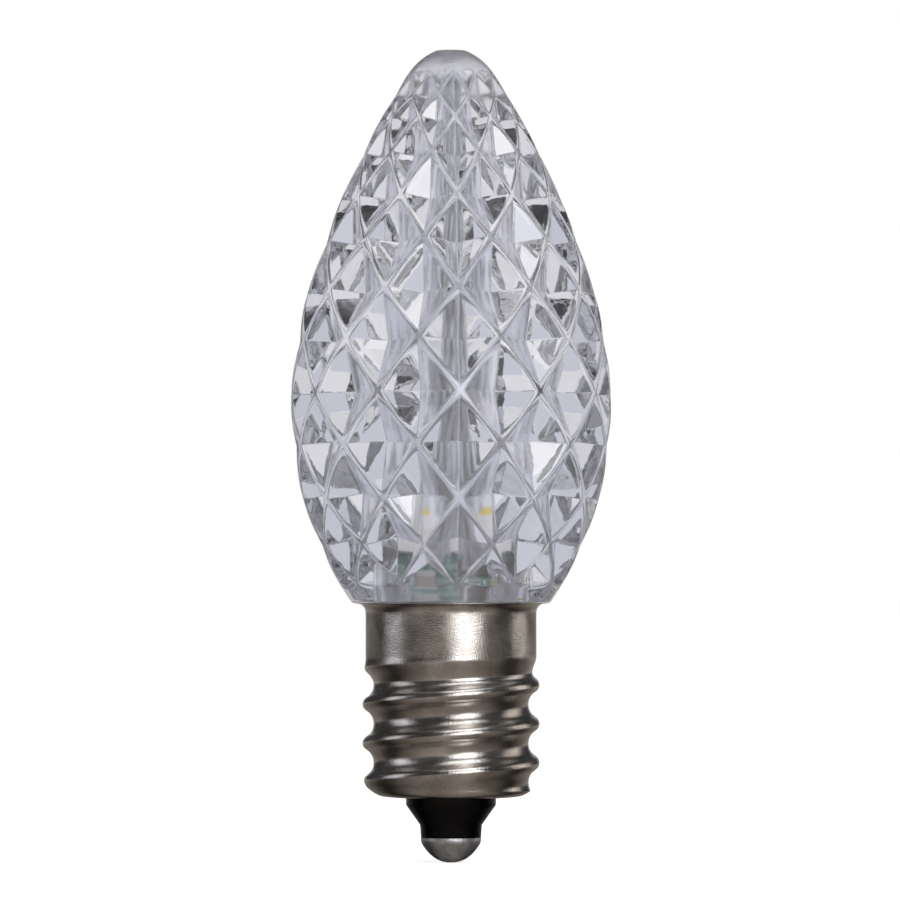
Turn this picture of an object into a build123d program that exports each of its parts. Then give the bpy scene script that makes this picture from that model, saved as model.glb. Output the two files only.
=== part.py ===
from build123d import *
from math import asin, atan2, cos, degrees, radians, sin, sqrt, tan
import os

os.makedirs("parts", exist_ok=True)

# Faceted clear lamp with a candelabra screw base, all sizes in millimetres.
# It stands on the solder of its tip: the screw's axis is Z and the origin is the lowest point.

# Solder on the tip, and the contact under it
solder_height = 1.63
solder_radius = 1.96
solder_shoulder_height = 1.35
solder_bulge_radius = 1.30
solder_bulge_height = 0.46
contact_flange_radius = 1.55
contact_thickness = 0.25
contact_barrel_radius = 0.80
contact_barrel_length = 2.20
contact_bore_radius = 0.45

# Glass insulator
glass_neck_radius = 2.02
glass_neck_length = 0.85
glass_cone_length = 1.31
glass_shoulder_radius = 2.94
glass_shoulder_length = 0.45
glass_flange_radius = 4.05
glass_flange_thickness = 0.80
glass_funnel_radius = 1.60
glass_funnel_depth = 0.90
glass_edge = 0.10

# Rolled sheet of the screw shell; its crest passes azimuth 0 at crest_rise above the shell's foot
sheet_thickness = 0.25
shell_height = 12.66
band_radius = 5.58
crest_radius = 5.78
root_radius = 5.06
thread_pitch = 2.54
thread_crest_arc = 0.50
crest_rise = 7.36
band_length = 3.45
run_out_length = 2.68
crest_fade_length = 1.35
crest_end_length = 0.75
crest_end_height = 0.06
cam_points = 20
form_margin = 0.30
crest_margin = 0.15
shell_corner_radius = 1.60
flare_radius = 6.20
flare_bend_radius = 0.45
glass_hole_clearance = 0.04

# Outline of the clear cover
belly_radius = 10.45
belly_height = 12.70
lower_arc_radius = 22.10
upper_arc_radius = 27.00
shoulder_height = 20.26
crown_radius = 2.82
crown_height = 34.56
crown_rise = 1.54
tip_flat_radius = 1.00
rim_edge = 0.12
gate_radius = 0.23
gate_height = 0.06
gate_offset = 0.36

# Spigot that the shell holds, and the tapered bore
spigot_clearance = 0.07
spigot_length = 3.05
spigot_bore_radius = 4.35
throat_length = 1.00
bore_mouth_radius = 3.50
bore_tip_radius = 1.18
crown_wall = 2.80

# Lattice of ridges round the cover, and the pits between them; the rows stretch with the crown's height
pits_round = 12
lattice_phase = 3.0
ridge_rows = (1.32, 3.80, 6.74, 10.26, 13.60, 17.06, 20.26, 23.52, 26.36, 29.20, 31.49, 33.02, 34.56)
pit_share = 0.885
belly_pit_depth = 1.35
half_pit_share = 0.36
half_pit_depth = 0.62
cutter_lift = 0.35

# Circuit board: its shoulder is below the cover's rim and its top edge above it
board_thickness = 1.00
board_width = 8.20
board_shoulder_drop = 1.60
tongue_width = 6.00
board_top_rise = 3.45
board_corner = 0.40

# Light source on the board's upper edge
led_length = 3.50
led_width = 2.80
led_height = 1.90
led_cavity_radius = 1.20
led_cavity_draft = 20.0
led_cavity_depth = 0.70
led_chamfer = 0.12
terminal_thickness = 0.12
terminal_width = 2.20
terminal_reach = 0.90
terminal_rise = 0.70

# Parts soldered to the board: width, length, height off it; centre across, and up from the rim
smoothing_capacitor_size = (1.60, 3.20, 1.20)
smoothing_capacitor_place = (-1.50, 0.55)
limiting_resistor_size = (2.00, 1.25, 0.55)
limiting_resistor_place = (1.75, 2.45)
bleed_resistor_size = (3.20, 1.60, 0.60)
bleed_resistor_place = (0.00, 0.70)
dropper_capacitor_size = (3.20, 4.50, 2.00)
dropper_capacitor_place = (-0.90, -6.20)
chip_edge = 0.08
rectifier_size = (3.90, 4.70, 2.40)
rectifier_place = (0.00, -6.20)
rectifier_standoff = 0.12
rectifier_draft = 5.0
rectifier_lead_pitch = 2.50
rectifier_lead_width = 0.60
rectifier_lead_thickness = 0.20
rectifier_lead_rise = 1.10
rectifier_lead_reach = 1.00

# Leads and their joints
lead_radius = 0.15
live_pad_rise = 2.31
live_bend_drop = 0.15
live_bend_radius = 0.45
live_tip_height = 0.70
neutral_pad_across = 3.10
neutral_pad_drop = 4.55
neutral_leave_across = 4.30
neutral_leave_drop = 4.00
neutral_bend_radius = 0.40
neutral_groove_drop = 0.30
neutral_top_gap = 0.90
groove_width = 0.50
joint_radius = 0.42
joint_height = 0.34
joint_taper = 25.0

# Dab of adhesive between the board's edge and the bore
dab_radius = 0.80
dab_rise = 0.85
dab_across = 3.10
dab_forward = 0.55

# Levels that follow from these sizes, counted from the tip's lowest point
glass_bottom = solder_height
shell_bottom = glass_bottom + glass_neck_length + glass_cone_length + glass_shoulder_length
shell_top = shell_bottom + shell_height
glass_top = shell_bottom + sheet_thickness + glass_flange_thickness
rim_height = shell_top
band_foot_height = rim_height - band_length
run_out_foot = band_foot_height - run_out_length
cover_height = crown_height + crown_rise
cover_top = rim_height + cover_height
spigot_bottom = rim_height - spigot_length
board_bottom = glass_top
board_shoulder_height = rim_height - board_shoulder_drop
board_top_height = rim_height + board_top_rise
live_pad_height = glass_top + live_pad_rise
neutral_pad_height = rim_height - neutral_pad_drop
neutral_leave_height = rim_height - neutral_leave_drop
spigot_radius = band_radius - sheet_thickness - spigot_clearance
half_step = 180.0 / pits_round
row_heights = [row * crown_height / ridge_rows[-1] for row in ridge_rows]
bore_tip_height = cover_height - crown_wall
bore_lean = degrees(atan2(bore_mouth_radius - bore_tip_radius, bore_tip_height))
bore_end_radius = bore_tip_radius / cos(radians(bore_lean))
bore_end_centre = rim_height + bore_tip_height - bore_tip_radius * tan(radians(bore_lean))


# Outline of the cover: four arcs, each tangent to the next
def arc_radius_at(start_radius, start_angle, arc, rise):
    """Radius reached on an arc that leans in by start_angle, after climbing by rise."""
    lean = asin(sin(start_angle) + rise / arc)
    return start_radius - arc * (cos(start_angle) - cos(lean)), lean


shoulder_radius, shoulder_lean = arc_radius_at(
    belly_radius, 0.0, upper_arc_radius, shoulder_height - belly_height
)
shoulder_chord = (crown_radius - shoulder_radius, crown_height - shoulder_height)
shoulder_arc_radius = (shoulder_chord[0] ** 2 + shoulder_chord[1] ** 2) / (
    -2 * (shoulder_chord[0] * cos(shoulder_lean) + shoulder_chord[1] * sin(shoulder_lean))
)


def cover_outline(height):
    """Radius and inward lean of the cover's outline at a height above its rim."""
    if height < belly_height:
        radius, lean = arc_radius_at(belly_radius, 0.0, lower_arc_radius, belly_height - height)
        return radius, -lean
    if height < shoulder_height:
        return arc_radius_at(belly_radius, 0.0, upper_arc_radius, height - belly_height)
    return arc_radius_at(
        shoulder_radius, shoulder_lean, shoulder_arc_radius, height - shoulder_height
    )


def outline_point(height):
    """Point of the outline in the XZ plane."""
    return (cover_outline(height)[0], rim_height + height)


def surface_point(height, azimuth):
    """Point of the outer surface at a height above the rim, azimuth in degrees from +X."""
    radius = cover_outline(height)[0]
    turn = radians(azimuth)
    return Vector(radius * cos(turn), radius * sin(turn), rim_height + height)


# Pits: pyramids sunk into the cover between the ridges
def pit_cutter(apex, outward, reach, corners):
    """Pyramid from its apex in the wall out past the surface, its edges through the corners."""
    mouth_plane = Plane(origin=apex + outward * reach, x_dir=(0, 1, 0), z_dir=outward)
    mouth_points = []
    for corner in corners:
        edge = corner - apex
        local = mouth_plane.to_local_coords(apex + edge * (reach / edge.dot(outward)))
        mouth_points.append((local.X, local.Y))
    with BuildPart() as cutter:
        with BuildSketch(mouth_plane) as mouth:
            with BuildLine():
                Polyline(*mouth_points, close=True)
            make_face()
        loft(sections=[mouth.sketch, Vertex(*tuple(apex))])
    return cutter.part


def outward_at(height):
    """Outward normal of the cover at azimuth 0."""
    lean = cover_outline(height)[1]
    return Vector(cos(lean), 0, sin(lean))


def whole_pit(row):
    """Four-sided pit centred on a row, reaching towards the rows below and above."""
    below, level, above = row_heights[row - 1 : row + 2]
    depth = belly_pit_depth * cover_outline(level)[0] / belly_radius
    outward = outward_at(level)
    apex = surface_point(level, 0) - outward * depth
    corners = (
        surface_point(level, half_step * pit_share),
        surface_point(level + pit_share * (above - level), 0),
        surface_point(level, -half_step * pit_share),
        surface_point(level - pit_share * (level - below), 0),
    )
    return pit_cutter(apex, outward, depth + cutter_lift, corners)


def half_pit(row, next_row):
    """Three-sided pit that closes the lattice at its first or last row."""
    level, beyond = row_heights[row], row_heights[next_row]
    centre = level + half_pit_share * (beyond - level)
    depth = half_pit_depth * cover_outline(level)[0] / cover_outline(row_heights[0])[0]
    outward = outward_at(centre)
    apex = surface_point(centre, 0) - outward * depth
    corners = (
        surface_point(level, half_step * pit_share),
        surface_point(level + pit_share * (beyond - level), 0),
        surface_point(level, -half_step * pit_share),
    )
    return pit_cutter(apex, outward, depth + cutter_lift, corners)


last_row = len(row_heights) - 1
pit_cutters = [half_pit(0, 1)]
pit_cutters += [whole_pit(row) for row in range(1, last_row)]
pit_cutters += [half_pit(last_row, last_row - 1)]

# Clear cover: faceted globe, spigot, blind bore and gate mark
with BuildPart() as cover:
    with BuildSketch(Plane.XZ):
        with BuildLine():
            lower = ThreePointArc(
                outline_point(rim_edge),
                outline_point(belly_height / 2),
                outline_point(belly_height),
            )
            upper = ThreePointArc(
                lower @ 1,
                outline_point((belly_height + shoulder_height) / 2),
                (shoulder_radius, rim_height + shoulder_height),
            )
            shoulder = ThreePointArc(
                upper @ 1,
                outline_point((shoulder_height + crown_height) / 2),
                (crown_radius, rim_height + crown_height),
            )
            crown = TangentArc(shoulder @ 1, (tip_flat_radius, cover_top), tangent=shoulder % 1)
            rim_corner = (cover_outline(0)[0] - rim_edge, rim_height)
            Polyline(crown @ 1, (0, cover_top), (0, rim_height), rim_corner, lower @ 0)
        make_face()
    revolve(axis=Axis.Z)
    with BuildSketch(Plane.XY.offset(spigot_bottom)):
        Circle(spigot_radius)
    extrude(amount=spigot_length)
    with BuildSketch(Plane.XZ):
        with BuildLine():
            bore_wall = Polyline(
                (0, spigot_bottom),
                (spigot_bore_radius, spigot_bottom),
                (spigot_bore_radius, rim_height - throat_length),
                (bore_mouth_radius, rim_height),
                (bore_tip_radius, rim_height + bore_tip_height),
            )
            bore_end = CenterArc((0, bore_end_centre), bore_end_radius, bore_lean, 90 - bore_lean)
            Line(bore_end @ 1, bore_wall @ 0)
        make_face()
    revolve(axis=Axis.Z, mode=Mode.SUBTRACT)
    with BuildSketch(Plane.XY.offset(cover_top)):
        with Locations((gate_offset, 0)):
            Circle(gate_radius)
    extrude(amount=gate_height)
    with BuildSketch(Plane.XY.offset(spigot_bottom)):
        with Locations((spigot_radius, -board_thickness / 2 - lead_radius)):
            Rectangle(4 * lead_radius + 2 * spigot_clearance, groove_width)
    extrude(amount=spigot_length - neutral_top_gap + lead_radius, mode=Mode.SUBTRACT)
    for row, cutter in enumerate(pit_cutters):
        first = lattice_phase + half_step * (1 - row % 2) - 90
        with PolarLocations(0, pits_round, start_angle=first):
            add(cutter, mode=Mode.SUBTRACT)
cover.part.label = "cover"
export_step(cover.part, "parts/cover.step")


# Rolled thread: level cuts through it are the same cam, turned once in each pitch
thread_depth = crest_radius - root_radius
root_arc = ((thread_pitch / 2) ** 2 + thread_depth**2) / (2 * thread_depth) - thread_crest_arc
flank_share = (thread_pitch / 2) / (thread_crest_arc + root_arc)


def thread_radius(rise, skin):
    """Radius of the rolled sheet a given rise from its crest, skin below its outer face."""
    from_crest = min(rise, thread_pitch - rise)
    if from_crest <= (thread_crest_arc - skin) * flank_share:
        return crest_radius - thread_crest_arc + sqrt(
            (thread_crest_arc - skin) ** 2 - from_crest**2
        )
    from_root = thread_pitch / 2 - from_crest
    return root_radius + root_arc - sqrt((root_arc + skin) ** 2 - from_root**2)


def shell_form(skin):
    """Solid form of the screw shell, skin inside its outer face, closed at the bottom."""
    bottom = shell_bottom + skin
    thread_start = bottom - form_margin
    first_turn = 360 * (thread_start - shell_bottom - crest_rise) / thread_pitch
    cam = []
    for step in range(cam_points):
        share = step / cam_points
        radius = thread_radius(share * thread_pitch, skin)
        turn = radians(first_turn - 360 * share)
        cam.append((radius * cos(turn), radius * sin(turn)))
    with BuildSketch(Plane.XY.offset(thread_start)) as thread_cut:
        with BuildLine():
            Spline(*cam, periodic=True)
        make_face()
    rise = band_foot_height - thread_start
    twisted = Solid.extrude_linear_with_rotation(
        thread_cut.sketch.face(), (0, 0, thread_start), (0, 0, rise), 360 * rise / thread_pitch
    )
    corner = shell_corner_radius - skin
    wall = crest_radius - skin + crest_margin
    with BuildPart() as form:
        add(twisted)
        with BuildSketch(Plane.XZ):
            with BuildLine():
                floor = Line((0, bottom), (wall - corner, bottom))
                turned_in = JernArc(floor @ 1, floor % 1, corner, 90)
                Polyline(
                    turned_in @ 1,
                    (wall, band_foot_height - crest_fade_length),
                    (band_radius - skin + crest_end_height, band_foot_height - crest_end_length),
                    (band_radius - skin, band_foot_height - form_margin),
                    (0, band_foot_height - form_margin),
                    (0, bottom),
                )
            make_face()
        revolve(axis=Axis.Z, mode=Mode.INTERSECT)
        with BuildSketch(Plane.XZ):
            with BuildLine():
                Polyline(
                    (0, run_out_foot),
                    (root_radius - skin - form_margin, run_out_foot),
                    (band_radius - skin, band_foot_height),
                    (band_radius - skin, shell_top - sheet_thickness - flare_bend_radius),
                    (0, shell_top - sheet_thickness - flare_bend_radius),
                    close=True,
                )
            make_face()
        revolve(axis=Axis.Z)
    return form.part


shell_outside = shell_form(0)
shell_inside = shell_form(sheet_thickness)
glass_hole_radius = glass_shoulder_radius + glass_hole_clearance

with BuildPart() as screw_shell:
    add(shell_outside)
    add(shell_inside, mode=Mode.SUBTRACT)
    with BuildSketch(Plane.XY.offset(shell_bottom)):
        Circle(glass_hole_radius)
    extrude(amount=sheet_thickness, mode=Mode.SUBTRACT)
    with BuildSketch(Plane.XZ):
        with BuildLine():
            flare_foot = shell_top - sheet_thickness - flare_bend_radius
            under = JernArc((band_radius, flare_foot), (0, 1), flare_bend_radius, -90)
            edge = Polyline(
                under @ 1,
                (flare_radius, shell_top - sheet_thickness),
                (flare_radius, shell_top),
                (band_radius + flare_bend_radius, shell_top),
            )
            over = JernArc(edge @ 1, (-1, 0), flare_bend_radius + sheet_thickness, 90)
            Line(over @ 1, under @ 0)
        make_face()
    revolve(axis=Axis.Z)
screw_shell.part.label = "screw_shell"
export_step(screw_shell.part, "parts/screw_shell.step")

# Black glass that keeps the tip's contact apart from the shell
cone_foot = glass_bottom + glass_neck_length
cone_top = cone_foot + glass_cone_length
flange_foot = shell_bottom + sheet_thickness
with BuildPart() as insulator:
    with BuildSketch(Plane.XZ):
        with BuildLine():
            Polyline(
                (contact_barrel_radius, glass_bottom),
                (solder_radius, glass_bottom),
                (glass_neck_radius, cone_foot),
                (glass_shoulder_radius, cone_top),
                (glass_shoulder_radius, flange_foot),
                (glass_flange_radius, flange_foot),
                (glass_flange_radius, glass_top),
                (glass_funnel_radius, glass_top),
                (contact_barrel_radius, glass_top - glass_funnel_depth),
                close=True,
            )
        insulator_cut = make_face()
        fillet(insulator_cut.vertices().filter_by_position(Axis.Z, cone_foot, cone_top), glass_edge)
        fillet(insulator_cut.vertices().filter_by_position(Axis.Z, glass_top, glass_top), glass_edge)
    revolve(axis=Axis.Z)
insulator.part.label = "insulator"
export_step(insulator.part, "parts/insulator.step")

# Contact of the tip: a flanged brass eyelet through the glass
with BuildPart() as centre_contact:
    with BuildSketch(Plane.XY.offset(glass_bottom - contact_thickness)):
        Circle(contact_flange_radius)
    extrude(amount=contact_thickness)
    with BuildSketch(Plane.XY.offset(glass_bottom)):
        Circle(contact_barrel_radius)
    extrude(amount=contact_barrel_length)
    Hole(contact_bore_radius)
centre_contact.part.label = "centre_contact"
export_step(centre_contact.part, "parts/centre_contact.step")

# Live lead: from the board down through the eyelet into the solder
lead_forward = -board_thickness / 2 - lead_radius
with BuildPart() as live_lead:
    with BuildLine(Plane.YZ) as live_route:
        FilletPolyline(
            (lead_forward, live_pad_height),
            (lead_forward, board_bottom - live_bend_drop),
            (0, glass_bottom + contact_barrel_length + live_bend_drop),
            (0, live_tip_height),
            radius=live_bend_radius,
        )
    with BuildSketch(Plane(origin=live_route.line @ 0, z_dir=live_route.line % 0)):
        Circle(lead_radius)
    sweep()
live_lead.part.label = "live_lead"
export_step(live_lead.part, "parts/live_lead.step")

# Solder that closes the eyelet and makes the tip
with BuildPart() as tip_solder:
    with BuildSketch(Plane.XZ):
        with BuildLine():
            dome = Spline(
                (0, 0),
                (solder_bulge_radius, solder_bulge_height),
                (solder_radius, solder_shoulder_height),
                tangents=[(1, 0), (0, 1)],
            )
            Polyline(dome @ 1, (solder_radius, glass_bottom), (0, glass_bottom), (0, 0))
        make_face()
    revolve(axis=Axis.Z)
    add(centre_contact.part, mode=Mode.SUBTRACT)
    add(live_lead.part, mode=Mode.SUBTRACT)
tip_solder.part.label = "tip_solder"
export_step(tip_solder.part, "parts/tip_solder.step")

# Circuit board, upright on the axis: wide in the shell, a tongue up the bore
with BuildPart() as circuit_board:
    with BuildSketch(Plane.XZ.offset(-board_thickness / 2)):
        with BuildLine():
            Polyline(
                (-board_width / 2, board_bottom),
                (board_width / 2, board_bottom),
                (board_width / 2, board_shoulder_height),
                (tongue_width / 2, board_shoulder_height),
                (tongue_width / 2, board_top_height),
                (-tongue_width / 2, board_top_height),
                (-tongue_width / 2, board_shoulder_height),
                (-board_width / 2, board_shoulder_height),
                close=True,
            )
        make_face()
    extrude(amount=board_thickness)
    fillet(circuit_board.edges().filter_by(Axis.Y).group_by(Axis.Z)[0], board_corner)
circuit_board.part.label = "circuit_board"
export_step(circuit_board.part, "parts/circuit_board.step")

# Light source: white package with a sloped cavity, filled with phosphor
led_top = board_top_height + terminal_thickness + led_height
with BuildPart() as led_package:
    with BuildSketch(Plane.XY.offset(board_top_height + terminal_thickness)):
        Rectangle(led_length, led_width)
    extrude(amount=led_height)
    chamfer(led_package.edges().filter_by(Axis.Z).sort_by(SortBy.DISTANCE)[0], led_chamfer)
    with BuildSketch(Plane.XY.offset(led_top)):
        Circle(led_cavity_radius)
    extrude(amount=-led_cavity_depth, taper=led_cavity_draft, mode=Mode.SUBTRACT)
led_package.part.label = "led_package"
export_step(led_package.part, "parts/led_package.step")

with BuildPart() as led_phosphor:
    with BuildSketch(Plane.XY.offset(led_top)):
        Circle(led_cavity_radius)
    extrude(amount=-led_cavity_depth, taper=led_cavity_draft)
led_phosphor.part.label = "led_phosphor"
export_step(led_phosphor.part, "parts/led_phosphor.step")

# Two terminals, each under one end of the package and up its end face
with BuildPart() as led_terminals:
    with BuildSketch(Plane.XZ.offset(-terminal_width / 2)):
        with BuildLine():
            Polyline(
                (led_length / 2 - terminal_reach, board_top_height),
                (led_length / 2 + terminal_thickness, board_top_height),
                (led_length / 2 + terminal_thickness, board_top_height + terminal_rise),
                (led_length / 2, board_top_height + terminal_rise),
                (led_length / 2, board_top_height + terminal_thickness),
                (led_length / 2 - terminal_reach, board_top_height + terminal_thickness),
                close=True,
            )
        make_face()
    extrude(amount=terminal_width)
    mirror(about=Plane.YZ)
led_terminals.part.label = "led_terminals"
export_step(led_terminals.part, "parts/led_terminals.step")


# Chips soldered flat on the board, in front of it or behind it
def chip(name, size, place, front):
    """Rectangular chip with softened edges on one face of the board, written as its own piece."""
    width, length, height = size
    across, up = place
    face = Plane.XZ.offset(board_thickness / 2 if front else -board_thickness / 2)
    with BuildPart() as body:
        with BuildSketch(face):
            with Locations((across, rim_height + up)):
                Rectangle(width, length)
        extrude(amount=height if front else -height)
        outer_edges = body.edges().group_by(Axis.Y)[0 if front else -1]
        chamfer(outer_edges, chip_edge)
    body.part.label = name
    export_step(body.part, "parts/" + name + ".step")
    return body.part


chip("smoothing_capacitor", smoothing_capacitor_size, smoothing_capacitor_place, True)
chip("limiting_resistor", limiting_resistor_size, limiting_resistor_place, True)
chip("dropper_capacitor", dropper_capacitor_size, dropper_capacitor_place, True)
chip("bleed_resistor", bleed_resistor_size, bleed_resistor_place, False)

# Bridge rectifier behind the board, moulded with draft to both sides of its lead frame
rectifier_width, rectifier_length, rectifier_height = rectifier_size
rectifier_across = rectifier_place[0]
rectifier_middle = rim_height + rectifier_place[1]
body_back = board_thickness / 2 + rectifier_standoff
lead_level = body_back + rectifier_lead_rise
with BuildPart() as bridge_rectifier:
    with BuildSketch(Plane.XZ.offset(-lead_level)):
        with Locations((rectifier_across, rectifier_middle)):
            Rectangle(rectifier_width, rectifier_length)
    extrude(amount=rectifier_lead_rise, taper=rectifier_draft)
    extrude(
        bridge_rectifier.faces().sort_by(Axis.Y)[-1],
        amount=rectifier_height - rectifier_lead_rise,
        taper=rectifier_draft,
    )
bridge_rectifier.part.label = "bridge_rectifier"
export_step(bridge_rectifier.part, "parts/bridge_rectifier.step")

# Its four gull-wing leads, two on each side
with BuildPart() as rectifier_leads:
    side = rectifier_across + rectifier_width / 2
    half_lead = rectifier_lead_thickness / 2
    for lead_height in (
        rectifier_middle - rectifier_lead_pitch / 2,
        rectifier_middle + rectifier_lead_pitch / 2,
    ):
        with BuildSketch(Plane.XY.offset(lead_height - rectifier_lead_width / 2)):
            with BuildLine():
                Polyline(
                    (side + half_lead, lead_level),
                    (side + rectifier_lead_reach / 2, lead_level),
                    (side + rectifier_lead_reach / 2, board_thickness / 2 + half_lead),
                    (side + rectifier_lead_reach, board_thickness / 2 + half_lead),
                )
                offset(amount=half_lead, side=Side.BOTH)
            make_face()
        extrude(amount=rectifier_lead_width)
    mirror(about=Plane.YZ)
rectifier_leads.part.label = "rectifier_leads"
export_step(rectifier_leads.part, "parts/rectifier_leads.step")

# Neutral lead: from the board under the spigot and up its groove, against the shell
with BuildPart() as neutral_lead:
    with BuildLine(Plane.XZ.offset(-lead_forward)) as neutral_route:
        FilletPolyline(
            (neutral_pad_across, neutral_pad_height),
            (neutral_leave_across, neutral_leave_height),
            (spigot_radius - lead_radius, spigot_bottom - neutral_groove_drop),
            (spigot_radius - lead_radius, rim_height - neutral_top_gap),
            radius=neutral_bend_radius,
        )
    with BuildSketch(Plane(origin=neutral_route.line @ 0, z_dir=neutral_route.line % 0)):
        Circle(lead_radius)
    sweep()
neutral_lead.part.label = "neutral_lead"
export_step(neutral_lead.part, "parts/neutral_lead.step")

# Solder joints where the two leads meet the board
with BuildPart() as lead_joints:
    with BuildSketch(Plane.XZ.offset(board_thickness / 2)):
        with Locations((0, live_pad_height), (neutral_pad_across, neutral_pad_height)):
            Circle(joint_radius)
    extrude(amount=joint_height, taper=joint_taper)
    add(live_lead.part, mode=Mode.SUBTRACT)
    add(neutral_lead.part, mode=Mode.SUBTRACT)
lead_joints.part.label = "lead_joints"
export_step(lead_joints.part, "parts/lead_joints.step")

# Dab of adhesive that steadies the tongue's edge in the bore
with BuildPart() as adhesive_dab:
    with Locations((dab_across, -dab_forward, rim_height + dab_rise)):
        Sphere(dab_radius)
    with BuildSketch(Plane.XZ):
        with BuildLine():
            Polyline(
                (0, rim_height),
                (bore_mouth_radius, rim_height),
                (bore_tip_radius, rim_height + bore_tip_height),
                (0, rim_height + bore_tip_height),
                close=True,
            )
        make_face()
    revolve(axis=Axis.Z, mode=Mode.INTERSECT)
    add(circuit_board.part, mode=Mode.SUBTRACT)
adhesive_dab.part.label = "adhesive_dab"
export_step(adhesive_dab.part, "parts/adhesive_dab.step")
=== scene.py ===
import math

import bmesh
import bpy
from mathutils import Matrix, Vector


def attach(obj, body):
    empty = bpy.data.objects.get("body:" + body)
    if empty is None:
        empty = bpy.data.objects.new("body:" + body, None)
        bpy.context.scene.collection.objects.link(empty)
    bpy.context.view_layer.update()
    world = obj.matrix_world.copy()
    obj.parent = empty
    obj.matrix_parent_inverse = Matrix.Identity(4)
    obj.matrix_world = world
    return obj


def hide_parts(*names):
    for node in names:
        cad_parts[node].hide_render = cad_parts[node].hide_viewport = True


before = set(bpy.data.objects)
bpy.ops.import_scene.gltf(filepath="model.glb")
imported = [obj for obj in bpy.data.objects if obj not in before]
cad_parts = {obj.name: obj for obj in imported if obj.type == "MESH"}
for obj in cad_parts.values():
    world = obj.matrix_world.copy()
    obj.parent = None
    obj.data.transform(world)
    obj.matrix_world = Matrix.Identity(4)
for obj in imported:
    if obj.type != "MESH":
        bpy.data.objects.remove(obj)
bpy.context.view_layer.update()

# Clear faceted lamp on a candelabra screw base. Its sizes are in millimetres, its meshes in metres.
MM = 0.001
SPIN_WELD = 0.002


# Modelling

def start(name):
    """A new piece, begun as one vertex on the axis and left in edit mode."""
    bpy.ops.object.select_all(action="DESELECT")
    bpy.ops.mesh.primitive_plane_add(size=MM, location=(0, 0, 0))
    piece = bpy.context.object
    piece.name = name
    piece.data.name = name
    bpy.ops.object.mode_set(mode="EDIT")
    bpy.ops.mesh.select_mode(type="VERT")
    bpy.ops.mesh.merge(type="CENTER")
    return piece


def spun(name, outline, steps):
    """A turned piece: half its outline is drawn point by point, spun round the axis and closed."""
    piece = start(name)
    here = Vector((0, 0, 0))
    for number, (radius, height) in enumerate(outline):
        there = Vector((radius, 0, height)) * MM
        if number == 0:
            bpy.ops.transform.translate(value=there)
        else:
            bpy.ops.mesh.extrude_vertices_move(TRANSFORM_OT_translate={"value": there - here})
        here = there
    bpy.ops.mesh.select_all(action="SELECT")
    bpy.ops.mesh.spin(steps=steps, angle=math.tau, center=(0, 0, 0), axis=(0, 0, 1))
    bpy.ops.mesh.select_all(action="SELECT")
    bpy.ops.mesh.remove_doubles(threshold=SPIN_WELD * MM)
    bpy.ops.mesh.normals_make_consistent(inside=False)
    bpy.ops.object.mode_set(mode="OBJECT")
    return piece


def fuse(piece, other):
    """Union of one closed mesh with another, which is then thrown away."""
    bpy.ops.object.select_all(action="DESELECT")
    bpy.context.view_layer.objects.active = piece
    piece.select_set(True)
    union = piece.modifiers.new("union", "BOOLEAN")
    union.operation = "UNION"
    union.solver = "MANIFOLD"
    union.object = other
    bpy.ops.object.modifier_apply(modifier=union.name)
    bpy.data.objects.remove(other, do_unlink=True)


def smooth(piece, degrees):
    """Smooth shading that stops at edges sharper than this."""
    bpy.ops.object.select_all(action="DESELECT")
    bpy.context.view_layer.objects.active = piece
    piece.select_set(True)
    bpy.ops.object.shade_smooth_by_angle(angle=math.radians(degrees))


def dress(piece, material):
    """Gives a piece its one material."""
    piece.data.materials.clear()
    piece.data.materials.append(material)


# Sizes shared with the solid cover
RIM = 16.90
COVER_HEIGHT = 36.10
BELLY_RADIUS, BELLY_HEIGHT = 10.45, 12.70
LOWER_ARC, UPPER_ARC, SHOULDER_ARC = 22.10, 27.00, 54.20
SHOULDER_HEIGHT, CROWN_HEIGHT = 20.26, 34.56
TIP_FLAT, TIP_RING = 1.00, 0.50
JUST_BELOW = 0.001
PITS_ROUND = 12
HALF_STEP = 180 / PITS_ROUND
LATTICE_PHASE = 3.0
ROWS = (1.32, 3.80, 6.74, 10.26, 13.60, 17.06, 20.26, 23.52, 26.36, 29.20, 31.49, 33.02, 34.56)
PIT_SHARE = 0.885
PIT_DEPTH = 1.35
HALF_PIT_SHARE = 0.36
HALF_PIT_DEPTH = 0.85
RIDGE_ROUNDING = 0.12
RIDGE_MIDDLE = 0.06
SPREAD = (0, 0.25, 0.50, 0.70, 0.79, 0.83, 0.86, 0.885, 0.91, 0.94, 0.97, 1)
HALF_RINGS = (0, 0.4, 0.7, 0.8, 0.85, 0.89, 0.93, 0.97, 1)
RIM_STRIPS = (1.32, 1.20, 1.08, 0.96, 0.86, 0.76, 0.64)
CROWN_STRIPS = (34.56, 34.62, 34.68, 34.76, 34.90)
CROWN_RINGS = 8
RIM_ROUNDING = ((0.42, 0), (0.27, 0), (0.12, 0), (0.03, 0.04), (0, 0.12))
SEAT_RADIUS = 5.34
SPIGOT_RADIUS, SPIGOT_FOOT = 5.26, 13.85
MOUTH_RADIUS, MOUTH_TOP = 4.35, 15.90
BORE_RADIUS, BORE_TIP_RADIUS, BORE_TIP_HEIGHT = 3.50, 1.18, 33.30
BORE_RINGS, BORE_TIP_RINGS = 10, 7
GATE_RADIUS, GATE_RISE, GATE_OFFSET = 0.23, 0.06, 0.36
WELD, RING_REACH = 0.003, 0.004


def lean_in(radius, lean, arc, rise):
    """Radius and lean reached on an arc after climbing by rise."""
    reached = math.asin(math.sin(lean) + rise / arc)
    return radius - arc * (math.cos(lean) - math.cos(reached)), reached


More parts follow.
